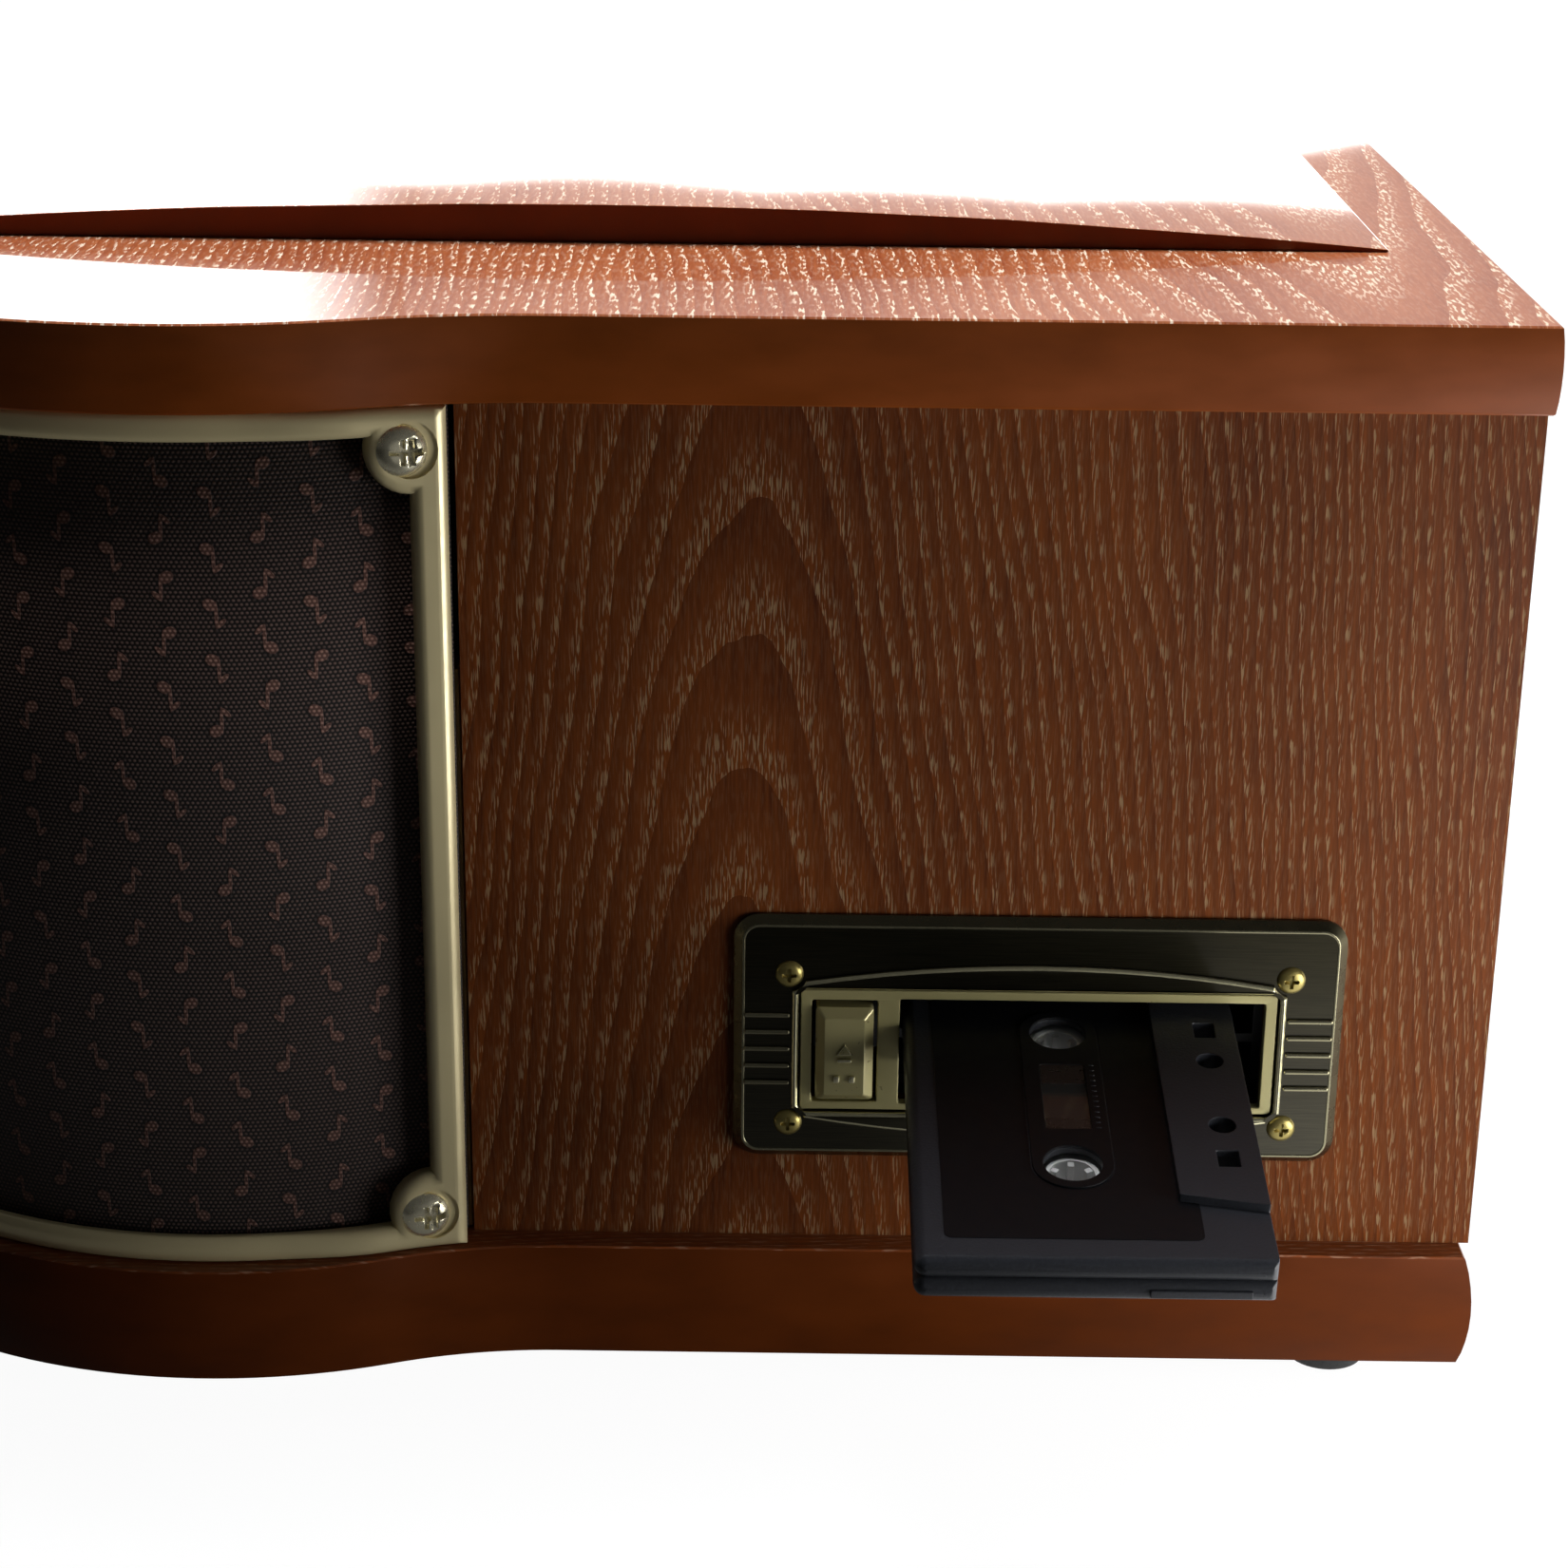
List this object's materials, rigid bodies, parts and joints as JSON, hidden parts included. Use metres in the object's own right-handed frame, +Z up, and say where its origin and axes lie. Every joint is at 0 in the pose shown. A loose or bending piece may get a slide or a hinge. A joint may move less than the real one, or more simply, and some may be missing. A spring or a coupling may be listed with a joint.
{
  "type": "stereo music centre",
  "caption": "Retro wooden stereo music centre with a hinged lid over a turntable, wrap-around speaker grilles, a tuning dial, a disc drawer and a cassette slot in its side.",
  "frame": {"origin": "middle of the whole box in plan, on the plane that the feet stand on", "axes": "+X to the right-hand side, where the cassette goes in; +Y to the rear; +Z up"},
  "size_m": [0.5782, 0.3814, 0.2273],
  "materials": {
    "stained_board": "dark stained and lacquered solid board",
    "veneer": "open-pored ash veneer, red-brown stain",
    "fascia_board": "dark lacquered front board",
    "hardboard": "brown fibreboard",
    "pine": "planed softwood",
    "lining": "black painted plywood",
    "satin_gold": "champagne gold satin metal",
    "speaker_cloth": "dark brown woven speaker cloth with small figures",
    "speaker_steel": "black stove enamelled steel",
    "paper_cone": "black pulp cone with a rubber edge",
    "chrome_screw": "bright plated cross-slotted screws",
    "brass_hinge": "plated brass hinge",
    "deck_plastic": "black moulded plastic",
    "cast_platter": "turned aluminium",
    "mat_rubber": "ribbed rubber",
    "steel": "bright steel",
    "arm_tube": "polished tube",
    "shell_plastic": "black moulded plastic",
    "antique_brass": "dark brushed antique brass with bright edges",
    "olive_gold": "olive gold lacquer",
    "brass": "bright brass",
    "cassette_plastic": "charcoal polystyrene, fine grained",
    "white_plastic": "white acetal",
    "dial_glass": "clear acrylic",
    "dial_print": "cream printed scale plate",
    "red_plastic": "red plastic",
    "circuit_board": "green circuit board with its parts"
  },
  "bodies": {
    "cabinet": {"base_board": "stained_board", "rubber_feet": "mat_rubber", "left_side_panel": "veneer", "right_side_panel": "veneer", "rear_panel": "hardboard", "cabinet_screws": "chrome_screw", "front_fascia": "fascia_board", "corner_battens": "pine", "well_liner": "lining", "left_grille_frame": "satin_gold", "right_grille_frame": "satin_gold", "left_grille_cloth": "speaker_cloth", "right_grille_cloth": "speaker_cloth", "speaker_baffles": "pine", "speaker_frames": "speaker_steel", "speaker_cones": "paper_cone", "hinge_cabinet_leaves": "brass_hinge", "hinge_pins": "brass_hinge", "deck_plate": "deck_plastic", "arm_clip": "deck_plastic", "platter_spindle": "steel", "drive_motor": "steel", "drive_belt": "mat_rubber", "tonearm_base": "deck_plastic", "cassette_escutcheon": "antique_brass", "slot_trim": "olive_gold", "escutcheon_screws": "brass", "cassette_bay": "shell_plastic", "tape_mechanism": "steel", "cd_mechanism": "steel", "dial_glass": "dial_glass", "dial_scale": "dial_print", "headphone_jack": "steel", "amplifier_board": "circuit_board", "power_transformer": "steel", "rear_sockets": "shell_plastic"},
    "lid": {"lid_board": "stained_board", "lid_crown": "veneer", "hinge_lid_leaves": "brass_hinge"},
    "platter": {"platter": "cast_platter", "platter_mat": "mat_rubber"},
    "motor_pulley": {"motor_pulley": "brass"},
    "tonearm_gimbal": {"tonearm_gimbal": "cast_platter"},
    "tonearm": {"tonearm": "arm_tube", "headshell": "shell_plastic"},
    "cue_lever": {"cue_lever": "cast_platter"},
    "speed_selector": {"speed_selector": "cast_platter"},
    "eject_key": {"eject_key": "olive_gold"},
    "cassette": {"cassette_lower_shell": "cassette_plastic", "cassette_upper_shell": "cassette_plastic"},
    "supply_hub": {"supply_hub": "white_plastic"},
    "takeup_hub": {"takeup_hub": "white_plastic"},
    "cd_drawer": {"cd_drawer": "shell_plastic"},
    "tuning_knob": {"tuning_knob": "brass"},
    "dial_pointer": {"dial_pointer": "red_plastic"},
    "volume_knob": {"volume_knob": "brass"},
    "function_knob": {"function_knob": "brass"},
    "power_button": {"power_button": "brass"},
    "open_button": {"open_button": "brass"},
    "play_button": {"play_button": "brass"}
  },
  "joints": [
    {"name": "lid_hinge", "type": "hinge", "parent": "cabinet", "child": "lid", "pos_m": [-0.02829, 0.18572, 0.2032], "axis": [-1, 0, 0], "range_deg": [0, 75]},
    {"name": "platter_spin", "type": "hinge", "parent": "cabinet", "child": "platter", "pos_m": [-0.07629, 0.00672, 0.153], "axis": [0, 0, -1], "continuous": true},
    {"name": "pulley_spin", "type": "hinge", "parent": "cabinet", "child": "motor_pulley", "pos_m": [-0.14346, 0.07389, 0.153], "axis": [0, 0, -1], "continuous": true},
    {"name": "arm_swing", "type": "hinge", "parent": "cabinet", "child": "tonearm_gimbal", "pos_m": [0.12371, 0.10272, 0.153], "axis": [0, 0, -1], "range_deg": [0, 50]},
    {"name": "arm_lift", "type": "hinge", "parent": "tonearm_gimbal", "child": "tonearm", "pos_m": [0.12371, 0.10272, 0.186], "axis": [-1, 0, 0], "range_deg": [0, 3]},
    {"name": "cue_turn", "type": "hinge", "parent": "cabinet", "child": "cue_lever", "pos_m": [0.14171, 0.09072, 0.167], "axis": [-1, 0, 0], "range_deg": [0, 72]},
    {"name": "speed_turn", "type": "hinge", "parent": "cabinet", "child": "speed_selector", "pos_m": [0.15571, 0.03272, 0.153], "axis": [0, 0, 1], "range_deg": [-30, 30]},
    {"name": "key_push", "type": "slide", "parent": "cabinet", "child": "eject_key", "axis": [-1, 0, 0], "range_m": [0, 0.003], "stiffness_N_per_m": 300},
    {"name": "cassette_slide", "type": "slide", "parent": "cabinet", "child": "cassette", "axis": [-0.9882, 0, 0.153], "range_m": [0, 0.076]},
    {"name": "supply_hub_spin", "type": "hinge", "parent": "cassette", "child": "supply_hub", "pos_m": [0.21782, 0.09782, 0.0755], "axis": [0.153, 0, 0.9882], "continuous": true},
    {"name": "takeup_hub_spin", "type": "hinge", "parent": "cassette", "child": "takeup_hub", "pos_m": [0.25981, 0.09782, 0.069], "axis": [0.153, 0, 0.9882], "continuous": true},
    {"name": "drawer_slide", "type": "slide", "parent": "cabinet", "child": "cd_drawer", "axis": [0, -1, 0], "range_m": [0, 0.135]},
    {"name": "tuning_turn", "type": "hinge", "parent": "cabinet", "child": "tuning_knob", "pos_m": [0.07071, -0.17364, 0.09307], "axis": [0, -1, 0], "range_deg": [-540, 540]},
    {"name": "pointer_slide", "type": "slide", "parent": "cabinet", "child": "dial_pointer", "axis": [1, 0, 0], "range_m": [-0.055, 0.055]},
    {"name": "volume_turn", "type": "hinge", "parent": "cabinet", "child": "volume_knob", "pos_m": [-0.12729, -0.17364, 0.09307], "axis": [0, -1, 0], "range_deg": [0, 300]},
    {"name": "function_turn", "type": "hinge", "parent": "cabinet", "child": "function_knob", "pos_m": [-0.02829, -0.17741, 0.051], "axis": [0, -1, 0], "range_deg": [-60, 60]},
    {"name": "power_push", "type": "slide", "parent": "cabinet", "child": "power_button", "axis": [0, 1, 0], "range_m": [0, 0.0025], "stiffness_N_per_m": 250},
    {"name": "open_push", "type": "slide", "parent": "cabinet", "child": "open_button", "axis": [0, 1, 0], "range_m": [0, 0.0025], "stiffness_N_per_m": 200},
    {"name": "play_push", "type": "slide", "parent": "cabinet", "child": "play_button", "axis": [0, 1, 0], "range_m": [0, 0.0025], "stiffness_N_per_m": 200}
  ],
  "couplings": [
    {"joint": "pulley_spin", "follows": "platter_spin", "ratio": 12},
    {"joint": "cue_turn", "follows": "arm_lift", "ratio": 24},
    {"joint": "takeup_hub_spin", "follows": "supply_hub_spin", "ratio": 1},
    {"joint": "pointer_slide", "follows": "tuning_turn", "m_per_rad": 0.0058357}
  ]
}
